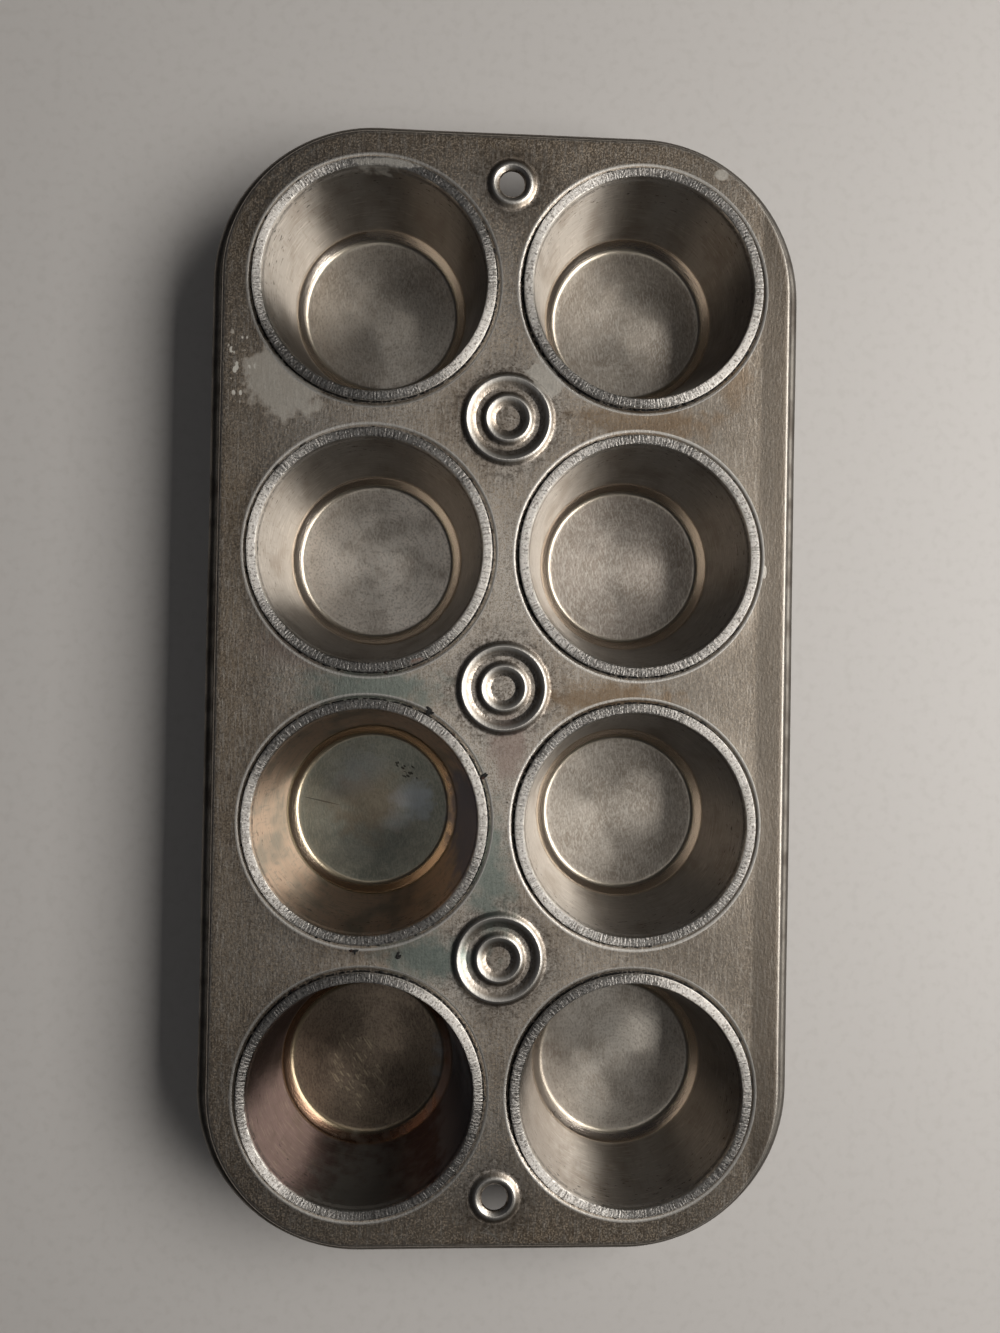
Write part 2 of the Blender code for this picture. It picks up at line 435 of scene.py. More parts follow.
class Sheet:
    """A bmesh of sheet metal, whose points say how worn they are and where they lie."""

    def __init__(self) -> None:
        """Start an empty mesh."""
        self.bm = bmesh.new()
        self.wear = self.bm.verts.layers.float.new("wear")
        self.pressed = self.bm.verts.layers.float.new("pressed")
        self.back = self.bm.verts.layers.float.new("back")

    def chain(self, line: Line, centre: Vector, back_from: int | None = None) -> list:
        """Stand a chain of edges through a line on the +X side of centre.

        Args:
            line: The profile.
            centre: The axis (x, y) that r is measured from.
            back_from: The first point that lies on the side that doesn't show, if any.

        Returns:
            The chain's vertices and edges.
        """
        verts = []
        for i, (point, wear) in enumerate(line):
            vert = self.bm.verts.new((centre.x + point.x, centre.y, point.y))
            vert[self.wear] = wear
            vert[self.back] = float(back_from is not None and i >= back_from)
            verts.append(vert)
        edges = [self.bm.edges.new(pair) for pair in zip(verts, verts[1:])]
        return verts + edges

    def turn(
        self,
        line: Line,
        centres: list[Vector],
        segments: int,
        back_from: int | None = None,
        pressed: bool = False,
    ) -> None:
        """Turn a line once about the upright axis through each centre.

        Args:
            line: The profile.
            centres: The axes (x, y).
            segments: How many pieces a full turn has, a multiple of SECTORS.
            back_from: The first point that lies on the side that doesn't show, if any.
            pressed: Whether this is a form that a punch pressed up from the flat.
        """
        ring = Sheet()
        chain = ring.chain(line, Vector((0, 0)), back_from)
        for vert in ring.bm.verts:
            vert[ring.pressed] = float(pressed)
        # One sector is turned, and the others are its copies, which takes far less time.
        sector = math.tau / SECTORS
        steps = segments // SECTORS
        bmesh.ops.spin(ring.bm, geom=chain, angle=sector, steps=steps, axis=UP)
        turned = [*ring.bm.verts, *ring.bm.edges, *ring.bm.faces]
        rest = {"angle": math.tau - sector, "steps": SECTORS - 1}
        bmesh.ops.spin(ring.bm, geom=turned, use_duplicate=True, axis=UP, **rest)
        ring.weld()
        mesh = bpy.data.meshes.new("ring")
        ring.bm.to_mesh(mesh)
        ring.bm.free()
        stand = Vector((0, 0, 0))
        for centre in centres:
            place = Vector((centre.x, centre.y, 0))
            mesh.transform(Matrix.Translation(place - stand))
            self.bm.from_mesh(mesh)
            stand = place
        bpy.data.meshes.remove(mesh)

    def sweep(self, chain: list, half: Vector, corner_steps: int, piece: float) -> None:
        """Carry a chain round the four corners of a rectangle and along its sides.

        Args:
            chain: The edges and vertices, standing on +X of the first corner's centre.
            half: Half of the distances between the corners' centres.
            corner_steps: How many pieces each corner has.
            piece: About how long the pieces of a side are.
        """
        corner = Vector((half.x, half.y, 0))
        for side in ((-2 * half.x, 0), (0, -2 * half.y), (2 * half.x, 0), (0, 2 * half.y)):
            along = Vector((*side, 0))
            turned = bmesh.ops.spin(
                self.bm, geom=chain, cent=corner, axis=UP, angle=math.pi / 2, steps=corner_steps
            )["geom_last"]
            edges = [part for part in turned if isinstance(part, bmesh.types.BMEdge)]
            pieces = round(along.length / piece)
            for _ in range(pieces):
                drawn = bmesh.ops.extrude_edge_only(self.bm, edges=edges)["geom"]
                chain = [part for part in drawn if not isinstance(part, bmesh.types.BMFace)]
                verts = [part for part in chain if isinstance(part, bmesh.types.BMVert)]
                edges = [part for part in chain if isinstance(part, bmesh.types.BMEdge)]
                bmesh.ops.translate(self.bm, vec=along / pieces, verts=verts)
            corner += along
        self.weld()

    def weld(self) -> None:
        """Merge the points that lie on each other."""
        bmesh.ops.remove_doubles(self.bm, verts=self.bm.verts, dist=WELD)

    def face_up(self) -> None:
        """Turn every face the same way, with the largest flat one looking up."""
        bmesh.ops.recalc_face_normals(self.bm, faces=self.bm.faces)
        flat = max(self.bm.faces, key=lambda face: abs(face.normal.z) * face.calc_area())
        if flat.normal.z < 0:
            bmesh.ops.reverse_faces(self.bm, faces=self.bm.faces)


def new_piece(name: str, bm: bmesh.types.BMesh, material: bpy.types.Material) -> bpy.types.Object:
    """Make a bmesh a smooth-shaded object that rides on the pan, and free it.

    Args:
        name: The object's name.
        bm: Its shape, in the frame's metres.
        material: Its material.

    Returns:
        The object, at the origin.
    """
    mesh = bpy.data.meshes.new(name)
    bm.to_mesh(mesh)
    bm.free()
    mesh.shade_smooth()
    mesh.set_sharp_from_angle(angle=SMOOTH_ANGLE)
    mesh.materials.append(material)
    piece = bpy.data.objects.new(name, mesh)
    bpy.context.scene.collection.objects.link(piece)
    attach(piece, "root")
    return piece


@dataclass(frozen=True)
class Ripple:
    """Smooth random hills and hollows, which make a stamped form look used."""

    height: float
    size: float  # how far apart the hills are
    seed: float  # sets these hills apart from others

    def at(self, place: Vector) -> float:
        """The height of the hills at a place, between -height and height."""
        return self.height * noise.noise(place / self.size + Vector((1, -1, 0.37)) * self.seed)

    def above(self, place: Vector) -> float:
        """The height of the hills over their lowest hollow at a place."""
        return self.height + self.at(place)


def outward(place: Vector) -> Vector:
    """The level way from the middle of the oblong pan to a place, 1 long."""
    return Vector((place.x, place.y / 2, 0)).normalized()


@dataclass(frozen=True)
class Layout:
    """Sizes that every part of the pan shares, read from the frame where it has them."""

    rows: int = 4
    sheet: float = 0.35 * MM
    seam_gap: float = 0.2 * MM
    mouth_radius: float = 25.4 * MM
    dip_depth: float = 0.35 * MM
    seam_radius: float = field(init=False)
    seam_top: float = field(init=False)
    half: Vector = field(init=False)
    pitch: float = field(init=False)
    plate_top: float = field(init=False)

    def __post_init__(self) -> None:
        """Read the sizes that the frame gives."""
        low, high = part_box("cup_1_right")
        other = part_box("cup_2_right")
        read = {
            "seam_radius": (high.x - low.x) / 2,
            "seam_top": high.z,
            "half": Vector(((low.x + high.x) / 2, (low.y + high.y) / 2)),
            "pitch": high.y - other[1].y,
            # The seam's layers stand on the plate: three sheets and three gaps above the dip.
            "plate_top": high.z - 3 * self.sheet - 3 * self.seam_gap + self.dip_depth,
        }
        for name, value in read.items():
            object.__setattr__(self, name, value)

    @property
    def seat_top(self) -> float:
        """The height of the dip that the seam stands in."""
        return self.plate_top - self.dip_depth

    def cups(self) -> Iterator[tuple[str, Vector]]:
        """Go through the cups.

        Yields:
            Each cup's name and centre.
        """
        for row in range(self.rows):
            y = self.half.y - row * self.pitch
            yield f"cup_{row + 1}_left", Vector((-self.half.x, y))
            yield f"cup_{row + 1}_right", Vector((self.half.x, y))

    def rosettes(self) -> Iterator[Vector]:
        """The centres of the rosettes, each between two rows."""
        for row in range(self.rows - 1):
            yield Vector((0, self.half.y - (row + 0.5) * self.pitch))


LIME = Coat("#BBB7AE", 0.55, 0.4)
SOOT = Coat("#15120F", 0.75, 0.1)
TEAL = Coat("#8E9C94", 0.36)
PINK = Coat("#B59E93", 0.36)
BROWN = Coat("#94795A", 0.32)
CLOUD = Coat("#BCC3C8", 0.46)
BARE = Coat("#E0DAD0", 0.3)
PLATE_MARKS = (
    # Darker tarnish along the whole right side, partly painted shade for its dimmer reflection
    Mark(49, 5, 18, 125, Coat("#7D766D", 0.36), 0, 0.62, ragged=0.3, soft=0.6),
    # The pale deposit beside the first cups with its loose grains, and lime that water left
    Mark(-51.0, 67.8, 9.3, 7.2, LIME, -38, 0.66, 0.6),
    Mark(-60.4, 71.5, 7.5, 3.2, Coat("#CECAC0", 0.6, 0.3), 90, 1.0, 0.4, speck=1.25, stretch=1.6),
    Mark(9.6, 72, 4.6, 5.6, LIME, 0, 0.7),
    Mark(48.1, 118.4, 1.5, 1.3, LIME, 0, 0.7, 0.3),
    Mark(-28.5, 117.3, 7, 1.6, LIME, 0, 0.7),
    # Brown, greenish and rosy tints of heat between the cups
    Mark(31, 61, 15, 3.5, BROWN, 0, 0.6, soft=0.5),
    Mark(-12, 92, 5, 12, BROWN, -20, 0.5, soft=0.5),
    Mark(24, -2, 14, 3.4, BROWN, 0, 0.65, soft=0.5),
    Mark(51, 74, 4, 8, BROWN, 10, 0.35, soft=0.5),
    Mark(-29.9, -0.6, 14, 4.4, TEAL, 0, 0.75, soft=0.6),
    Mark(-15.4, -60.8, 9, 4.6, TEAL, 0, 0.8, soft=0.6),
    Mark(-4, -38, 5, 16, TEAL, 12, 0.75, soft=0.6),
    Mark(1.8, -14.0, 4, 6, PINK, 0, 0.65, soft=0.6),
    Mark(-45.7, 8.5, 9, 4, PINK, 0, 0.4, soft=0.6),
    # Burnt specks
    Mark(-45.9, 53.9, 1.0, 0.6, SOOT, 40),
    Mark(-52, 48.8, 1.1, 0.5, SOOT, 50),
    # A knock on the edge and two fresh scratches
    Mark(59.4, 27.2, 0.5, 1.6, BARE, 0, 0.8),
    Mark(-45.4, 120, 1.9, 0.16, BARE, 40, 0.7, 0.4),
    Mark(-0.3, -122.8, 2.6, 0.16, BARE, -40, 0.7, 0.4),
)


@dataclass(frozen=True)
class WornTinplate:
    """Tinned sheet steel, hot dipped: dull silver that baking has stained brown and grey.

    Decades of washing leave fine scratches along the sheet, bright where they are fresh.
    """

    tin: Coat = Coat("#DDD4C9", 0.27)
    stain: Coat = Coat("#AD9C8A", 0.3)
    dull: Coat = Coat("#C3BBB2", 0.34, 0.95)
    frost: Coat = Coat("#AC9D8A", 0.62)  # the fine rough crystals of the tin
    streak: Coat = Coat("#E6DDD1", 0.36)
    dark: Coat = Coat("#6D6052", 0.34)
    pit: Coat = Coat("#2A241D", 0.6, 0.5)
    polish: Coat = Coat("#DBD7D0", 0.4)  # what hands and cloths have rubbed bright
    warm: Coat = Coat("#A48D72", 0.32)
    tarnish_and_shade: Coat = Coat("#61584E", 0.36)  # the tarnish and painted shade of the right side, also dirt on pressed forms
    grime: Coat = Coat("#877E73", 0.42)
    rolled: Coat = Coat("#716E69", 0.5, 0.9)  # the skirt and the roll round the wire
    baked: Coat = Coat("#3B3127", 0.5, 0.6)  # grease that has turned to carbon underneath

    def dress(self, layout: Layout) -> bpy.types.Material:
        """Make the plate's material.

        Args:
            layout: The pan's sizes.

        Returns:
            The material.
        """
        look = Surface("hot_dipped_tinplate", self.tin)
        look.lay(self.stain, look.grain((24, 36, 20), 0.36, 0.7, detail=4), 0.8)
        look.lay(self.dull, look.grain((4, 8, 5), 0.4, 0.75, detail=4), 0.5)
        across, along, height = add(look.tree, "SeparateXYZ", {0: look.place}).outputs
        # The sheet is browner and darker towards its edges: partly heat tint, partly painted shade for
        # the dimmer reflection there.
        for way, start, end in ((across, 44 * MM, 62 * MM), (along, 108 * MM, 124 * MM)):
            outwards = add(look.tree, "Math", {0: way}, operation="ABSOLUTE").outputs[0]
            look.lay(self.warm, look.step(outwards, start, end), 0.55)
        # It is duller and darker towards the right, and most of all along that edge: partly tarnish,
        # partly painted shade for the dimmer reflection on that side.
        look.lay(self.tarnish_and_shade, look.step(across, 12 * MM, 52 * MM), 0.58)
        self.scratch(look)
        # The strip by the right edge is darkest: tarnish and painted shade.
        look.lay(self.tarnish_and_shade, look.step(across, 57.4 * MM, 58.6 * MM), 0.7)
        # Grime stays on the slopes of what is pressed up, and use keeps the rest clean.
        slope = look.step(height, layout.plate_top, layout.plate_top + 0.3 * MM)
        look.lay(self.grime, look.attribute("pressed", 0.1, 0.9), slope, 0.75)
        for mark in PLATE_MARKS:
            look.put(mark)
        crest = look.attribute("wear", 0.35, 0.95)
        foot = look.attribute("wear", -0.35, -0.95)
        look.lay(self.polish, crest, 0.8)
        look.lay(SOOT, foot, look.grain(0.9, 0.28, 0.5))
        below = look.step(height, layout.plate_top - 1.2 * MM, layout.plate_top - 2.4 * MM)
        look.lay(self.rolled, below, 0.75)
        look.lay(self.baked, below, look.grain(7, 0.45, 0.7), 0.6)
        return look.finished()

    def scratch(self, look: Surface) -> None:
        """Lay the rolling lines, flecks, pits and scratches, each as wide as a pixel of the render.

        Args:
            look: The surface to scratch.
        """
        plain = look.attribute("pressed", 1.4, 0.1)
        look.lay(self.frost, look.grain((0.3, 0.4, 0.3), 0.46, 0.62, shift=0.8), plain, 0.9)
        look.lay(self.streak, look.grain((0.4, 5, 1), 0.52, 0.7), 0.5)
        look.lay(self.dark, look.grain((0.45, 3, 1), 0.5, 0.72, shift=0.4), 0.35)
        look.lay(self.streak, look.grain((0.55, 0.7, 0.6), 0.52, 0.72, shift=0.2), 0.4)
        look.lay(self.dark, look.grain(0.6, 0.52, 0.72, shift=0.6), 0.45)
        look.lay(self.streak, look.grain((0.45, 2.2, 1), 0.67, 0.75, shift=0.3), 0.6)
        pressed = look.attribute("pressed", 0.1, 0.9)
        look.lay(self.dark, pressed, look.grain(0.5, 0.5, 0.66, shift=0.27), 0.7)
        look.lay(self.tarnish_and_shade, pressed, look.grain(1.6, 0.45, 0.7, shift=0.37), 0.6)
        look.lay(self.pit, look.grain(0.6, 0.69, 0.76, shift=0.7), 0.8)
        for turned, shift in ((35, 0.11), (-48, 0.23), (80, 0.31)):
            hairs = look.grain((0.35, 6, 5), 0.68, 0.75, turned, shift=shift)
            look.lay(self.streak, hairs, 0.6)
        look.emboss(0.008, look.grain((0.5, 1.8, 1), 0.3, 0.7, shift=0.5))
        look.emboss(0.008, look.grain((0.5, 0.6, 0.5), 0.3, 0.7, shift=0.9))


class HeatTint(Enum):
    """How far the oven has coloured a cup."""

    PLAIN = "plain"
    STRAW = "straw"
    UMBER = "umber"


class CupSurface(Surface):
    """The material of one cup, with coordinates that are measured from the cup's own axis."""

    def __init__(self, cup: "Cup", base: Coat) -> None:
        """Start the material and work its coordinates out.

        Args:
            cup: The cup that wears it.
            base: The bare surface under every other coat.
        """
        super().__init__(f"drawn_tinplate_{cup.name}", base)
        tree = self.tree
        self.cup = cup
        moved = {"Vector": self.place, "Location": (*cup.centre, 0)}
        self.local = add(tree, "Mapping", moved, vector_type="TEXTURE").outputs[0]
        split = add(tree, "SeparateXYZ", {0: self.local}).outputs
        level = {0: self.local, 1: (1, 1, 0)}
        self.level = add(tree, "VectorMath", level, operation="MULTIPLY").outputs[0]
        self.radius = add(tree, "VectorMath", {0: self.level}, operation="LENGTH").outputs["Value"]
        self.rise = split["Z"]
        # The way along the profile grows with both r and z, so rings of it circle the cup.
        along = add(tree, "Math", {0: self.radius, 1: self.rise}, operation="ADD").outputs[0]
        rings = {"X": split["X"], "Y": split["Y"], "Z": along}
        self.rings = add(tree, "CombineXYZ", rings).outputs[0]
        # How far this cup's patterns are moved, so that no two cups are alike
        self.seed = 0.013 * (cup.centre.x + 3 * cup.centre.y) / MM

    def above_heel(self, low: float, high: float) -> Socket:
        """The mask of what rises above the heel, from 0 at low to 1 at high, in millimetres."""
        return self.step(self.rise, self.cup.heel_height + low * MM, self.cup.heel_height + high * MM)


@dataclass(frozen=True)
class DrawnTin:
    """Tinplate drawn deep and scoured round and round: satin, with bright arcs toward the light."""

    floor: Coat
    wall: Coat
    stain: Coat
    crease: Coat  # where the floor ends
    heel: Coat  # the smooth chamfer between floor and wall
    scratch: Coat
    pit: Coat = Coat("#2A231C", 0.6, 0.5)
    seam: Coat = Coat("#E4DFD9", 0.74)
    seam_light: Coat = Coat("#F4F1EC", 0.64)
    seam_dark: Coat = Coat("#989189", 0.62, 0.95)
    polish: Coat = Coat("#D6D1C8", 0.28)
    baked: Coat = Coat("#3B3127", 0.5, 0.6)

    def dress(self, cup: "Cup") -> bpy.types.Material:
        """Make the material of one cup.

        Args:
            cup: The cup that wears it.

        Returns:
            The material.
        """
        base = Coat(FLOOR_TONES.get(cup.name, self.floor.colour), self.floor.roughness)
        look = CupSurface(cup, base)
        self.scour_floor(look)
        self.bake_wall(look)
        past_floor = look.step(look.radius, cup.floor_edge - 0.8 * MM, cup.floor_edge)
        corner = look.product(past_floor, look.above_heel(0.4, -0.2))
        look.lay(self.crease, corner, 0.9)
        look.lay(self.heel, corner, look.step(look.rise, 0.8 * MM, 1.2 * MM), 0.9)
        for mark in CUP_MARKS.get(cup.name, ()):
            look.put(mark)
        self.crimp_seam(look)
        for mark in SEAM_MARKS.get(cup.name, ()):
            look.put(mark)
        self.soil(look)
        self.scour_round(look)
        return look.finished()

    def scour_floor(self, look: CupSurface) -> None:
        """Lay the stains and the short scratches of a scoured floor.

        Args:
            look: The surface to dress.
        """
        seed, local, rings = look.seed, look.local, look.rings
        look.lay(self.stain, look.grain(8, 0.45, 0.7, source=local, shift=seed), 0.6)
        for coat, shift in ((self.scratch, 0.1), (self.stain, 0.15)):
            arcs = look.grain((3, 3, 0.45), 0.52, 0.7, source=rings, detail=0, shift=seed + shift)
            look.lay(coat, arcs, 0.25)
        for turned in (40, 66, 112):
            strokes = look.grain((2.6, 0.35, 3), 0.6, 0.74, turned, local, 0, seed + turned * MM)
            look.lay(self.scratch, strokes, 0.3)
        dust = look.grain((0.5, 0.6, 0.6), 0.46, 0.68, source=local, shift=seed + 0.4)
        look.lay(self.stain, dust, 0.5)
        bright = look.grain((0.4, 1.6, 0.6), 0.5, 0.66, 8, local, 1, seed + 0.45)
        look.lay(self.scratch, bright, 0.6)
        look.emboss(0.008, look.grain((2, 2, 0.5), 0.3, 0.7, source=rings, shift=seed))
        look.emboss(0.005, look.grain((0.5, 0.6, 0.6), 0.3, 0.7, source=local, shift=seed))

    def bake_wall(self, look: CupSurface) -> None:
        """Lay the wall's own tone, its clouds and the specks that batter burnt on to it.

        Args:
            look: The surface to dress.
        """
        seed, local, rings = look.seed, look.local, look.rings
        wall = look.above_heel(-0.3, 0.8)
        look.lay(self.wall, wall)
        clouds = look.grain((7, 7, 12), 0.46, 0.72, source=local, shift=seed + 0.3)
        look.lay(self.stain, wall, clouds, 0.55)
        streaks = look.grain((0.7, 0.7, 9), 0.56, 0.7, source=local, shift=seed + 0.6)
        look.lay(self.stain, wall, streaks, 0.3)
        upper = look.step(look.rise, 10 * MM, 20 * MM)
        specks = look.grain((1.6, 1.6, 0.6), 0.645, 0.71, source=rings, shift=seed + 0.8)
        look.lay(self.pit, upper, specks, 0.85)
        rub = look.grain((3.5, 3.5, 0.5), 0.54, 0.7, source=rings, shift=seed + 0.9)
        look.lay(self.scratch, wall, rub, 0.3)
        dull = look.grain((4, 4, 0.6), 0.54, 0.7, source=rings, shift=seed + 0.95)
        look.lay(self.stain, wall, dull, 0.4)

    def crimp_seam(self, look: CupSurface) -> None:
        """Lay the grey, pitted top of the seam with the marks of the rollers that closed it.

        Args:
            look: The surface to dress.
        """
        tree, seed, layout = look.tree, look.seed, look.cup.layout
        mouth = layout.mouth_radius
        ring = look.step(look.radius, mouth - 0.1 * MM, mouth + 0.2 * MM)
        look.lay(self.seam, ring)
        look.lay(self.seam_light, ring, look.grain(0.55, 0.5, 0.62, shift=seed), 0.8)
        look.lay(self.seam_dark, ring, look.grain(0.55, 0.54, 0.64, shift=seed + 0.4), 0.8)
        # Every point is pulled out to the seam's circle, so that the marks run across the seam.
        unit = add(tree, "VectorMath", {0: look.level}, operation="NORMALIZE").outputs[0]
        circle = {0: unit, "Scale": layout.seam_radius}
        crimp = add(tree, "VectorMath", circle, operation="SCALE").outputs[0]
        marks = look.grain((0.45, 0.45, 1), 0.42, 0.6, source=crimp, shift=seed)
        rolled = look.product(ring, look.grain(14, 0.47, 0.62, shift=seed + 0.5))
        look.lay(self.seam_light, rolled, marks, 0.45)
        gaps = look.grain((0.45, 0.45, 1), 0.5, 0.65, source=crimp, shift=seed + 0.1)
        look.lay(self.seam_dark, rolled, gaps, 0.7)
        look.emboss(0.02, ring, marks)
        look.emboss(0.04, ring, look.grain(0.55, 0.3, 0.7, shift=seed + 0.2))

    def soil(self, look: CupSurface) -> None:
        """Lay the polish on the lip, the soot in the crevice and the brown under the cup.

        Args:
            look: The surface to dress.
        """
        worn = look.grain(1.4, 0.35, 0.6, shift=look.seed + 0.7)
        look.lay(self.polish, look.attribute("wear", 0.3, 0.7), worn, 0.7)
        ragged = look.grain(0.8, 0.3, 0.5, shift=look.seed)
        look.lay(SOOT, look.attribute("wear", -0.3, -0.9), ragged)
        look.lay(self.baked, look.attribute("back", 0.2, 0.9), look.grain(4, 0.25, 0.6))

    def scour_round(self, look: CupSurface) -> None:
        """Scratch the floor and the wall round and round, as a hand that scours a cup does.

        Args:
            look: The surface to dress.
        """
        tree, edge = look.tree, look.cup.floor_edge
        # The bend between floor and wall isn't scoured, so that it mirrors the wall across from it,
        # and the middle of the floor is scoured every way.
        floor = look.product(
            look.step(look.radius, edge + 0.3 * MM, edge - 0.8 * MM),
            look.step(look.radius, 1.0 * MM, 8.0 * MM),
            0.6,
        )
        wall = look.above_heel(-0.1, 0.8)
        amount = add(tree, "Math", {0: floor, 1: wall}, operation="MAXIMUM").outputs[0]
        # A hand doesn't go in true circles, so the middle that the scratches circle wanders.
        wide, far = 9 * MM, 7 * MM
        noises = {"Vector": look.local, "Scale": 1 / wide, "Detail": 1.0}
        blots = add(tree, "TexNoise", noises).outputs[1]
        drift = {0: blots, 1: (2 * far, 2 * far, 0), 2: (-far, -far, 0)}
        drifted = add(tree, "VectorMath", drift, operation="MULTIPLY_ADD").outputs[0]
        spoke = add(tree, "VectorMath", {0: look.local, 1: drifted}, operation="ADD").outputs[0]
        crossed = {0: tuple(UP), 1: spoke}
        around = add(tree, "VectorMath", crossed, operation="CROSS_PRODUCT").outputs[0]
        look.brush(around, amount)


# The three finishes of the cups, from plain tin to the most baked one
CUP_FINISHES = {
    HeatTint.PLAIN: DrawnTin(
        floor=Coat("#CDC3B7", 0.41),
        wall=Coat("#B6AEA4", 0.5),
        stain=Coat("#978B7E", 0.45),
        crease=Coat("#B9AF9F", 0.3),
        heel=Coat("#D6CABD", 0.2),
        scratch=Coat("#E0D9CE", 0.38),
    ),
    HeatTint.STRAW: DrawnTin(
        floor=Coat("#979588", 0.4),
        wall=Coat("#C2AA94", 0.5),
        stain=Coat("#7C8077", 0.45),
        crease=Coat("#BFB097", 0.26),
        heel=Coat("#CEB8A0", 0.2),
        scratch=Coat("#A5A496", 0.4),
    ),
    HeatTint.UMBER: DrawnTin(
        floor=Coat("#948474", 0.4),
        wall=Coat("#7C6963", 0.5),
        stain=Coat("#65584E", 0.45),
        crease=Coat("#9A8A72", 0.26),
        heel=Coat("#937460", 0.24),
        scratch=Coat("#A39480", 0.4),
    ),
}
# Marks on the cups' floors and walls, which lie under the finish of their seams
CUP_MARKS = {
    "cup_1_left": (Mark(-31, 112, 3.5, 1.8, LIME, 0, 0.15, soft=0.4),),
    # A darker patch on the left wall of cup 4 on the right, where the light falls: painted shade
    "cup_4_right": (Mark(11, -99, 9, 15, Coat("#857A70", 0.46), 0, 0.5, soft=0.6),),
    "cup_3_left": (
        Mark(-31, -38.5, 10, 6, Coat("#5F625E", 0.4), 0, 0.45, soft=0.7),
        Mark(-20.2, -28.2, 4.6, 4.0, CLOUD, 0, 0.75, soft=0.5),
        Mark(-35, -22, 6, 4, CLOUD, 30, 0.3, soft=0.7),
        Mark(-24.5, -33.5, 3.5, 2.0, CLOUD, 20, 0.35, soft=0.6),
        Mark(-22.3, -21.0, 3.4, 2.0, Coat("#262421", 0.5, 0.5), -35, 0.75, speck=0.7, stretch=2),
        Mark(-43.2, -28.8, 4.8, 0.16, Coat("#2B2823", 0.5, 0.5), -12, 0.7, 0.4),
        Mark(-31, -29, 8, 7, BROWN, 0, 0.4, soft=0.7),
        Mark(-7.5, -30, 4, 16, Coat("#757A8C", 0.45), 0, 0.8, soft=0.5),
    ),
    "cup_4_left": (
        Mark(-33, -94.5, 8, 6, Coat("#C9B89C", 0.42), -55, 0.7, speck=0.5, stretch=16),
        Mark(-30, -119, 18, 7, Coat("#A9A99F", 0.5), 8, 0.6, soft=0.5),
        Mark(-8.5, -98, 5, 16, Coat("#A5A6A6", 0.5), 0, 0.7, soft=0.5),
    ),
}
# What lies on the top of a seam
SEAM_MARKS = {
    "cup_1_left": (Mark(-28.5, 117.5, 7, 1.2, LIME, 0, 0.8),),
    "cup_2_left": (Mark(-19.5, 5.3, 1.6, 1.0, Coat("#6B3F26", 0.6, 0.3), 20, 0.7),),
}
# No two plain cups are tarnished alike
FLOOR_TONES = {
    "cup_1_left": "#CFC5B8",
    "cup_2_left": "#EAE0D4",
    "cup_1_right": "#BDB2A5",
    "cup_2_right": "#B7ABA0",
    "cup_3_right": "#C0B6AA",
    "cup_4_right": "#D6CEC3",
}
HEAT_TINTS = {"cup_3_left": HeatTint.STRAW, "cup_4_left": HeatTint.UMBER}


